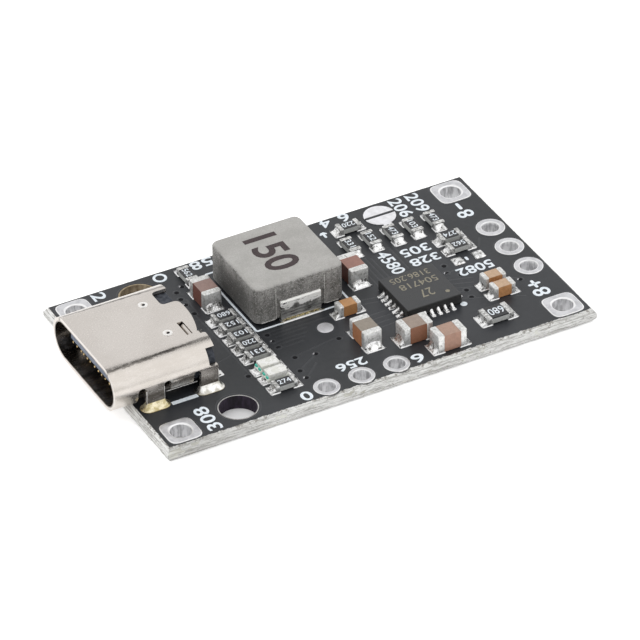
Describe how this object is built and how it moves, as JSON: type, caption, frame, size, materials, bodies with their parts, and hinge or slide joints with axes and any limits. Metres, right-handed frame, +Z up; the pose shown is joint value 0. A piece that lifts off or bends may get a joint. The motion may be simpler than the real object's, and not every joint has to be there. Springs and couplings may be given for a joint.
{
  "type": "lithium battery charger module",
  "caption": "Small dark printed board with a type C power socket, a square inductor, a leadless charger chip and surface-mount parts, for charging lithium cells.",
  "frame": {"origin": "centre of the board's flat underside", "axes": "+Z up from the underside through the board, +X along its length towards the battery pads, -X towards the socket's mouth"},
  "size_m": [0.0326, 0.018, 0.0042],
  "materials": {
    "board": "satin",
    "tinned_pads": "satin",
    "shell_steel": "satin",
    "plate_steel": "satin",
    "black_insulator": "matte",
    "gilt_contact": "polished",
    "solder": "polished",
    "moulded_iron": "matte",
    "tinned_terminal": "satin",
    "chip_resin": "matte",
    "resistor_slab": "satin",
    "brown_ceramic": "satin",
    "tan_ceramic": "satin",
    "lamp_base": "satin",
    "lamp_lens": "polished"
  },
  "bodies": {
    "root": {"board": "board", "corner_pads": "tinned_pads", "end_pads": "tinned_pads", "side_pads": "tinned_pads", "test_pad": "tinned_pads", "jumper_pads": "tinned_pads", "component_lands": "tinned_pads", "socket_shell": "shell_steel", "socket_mid_plate": "plate_steel", "socket_housing": "black_insulator", "socket_upper_contacts": "gilt_contact", "socket_lower_contacts": "gilt_contact", "socket_leg_solder": "solder", "solder_fillets": "solder", "inductor_core": "moulded_iron", "inductor_terminals": "tinned_terminal", "charger_chip_leads": "tinned_terminal", "resistor_end_caps": "tinned_terminal", "capacitor_end_caps": "tinned_terminal", "lamp_end_caps": "tinned_terminal", "charger_chip": "chip_resin", "socket_pull_down_resistor_1": "resistor_slab", "socket_pull_down_resistor_2": "resistor_slab", "input_divider_resistor_1": "resistor_slab", "input_divider_resistor_2": "resistor_slab", "charging_lamp_resistor": "resistor_slab", "full_lamp_resistor": "resistor_slab", "input_bleed_resistor": "resistor_slab", "cell_count_resistor": "resistor_slab", "snubber_resistor": "resistor_slab", "frequency_resistor": "resistor_slab", "charge_voltage_resistor": "resistor_slab", "upper_limit_resistor": "resistor_slab", "lower_limit_resistor": "resistor_slab", "temperature_resistor": "resistor_slab", "thermistor_resistor": "resistor_slab", "current_sense_resistor": "resistor_slab", "input_capacitor": "brown_ceramic", "switching_capacitor": "brown_ceramic", "output_capacitor_1": "brown_ceramic", "output_capacitor_2": "brown_ceramic", "output_capacitor_3": "brown_ceramic", "bootstrap_capacitor": "tan_ceramic", "filter_capacitor_1": "tan_ceramic", "filter_capacitor_2": "tan_ceramic", "charging_lamp_base": "lamp_base", "full_lamp_base": "lamp_base", "charging_lamp_lens": "lamp_lens", "full_lamp_lens": "lamp_lens"}
  },
  "joints": []
}
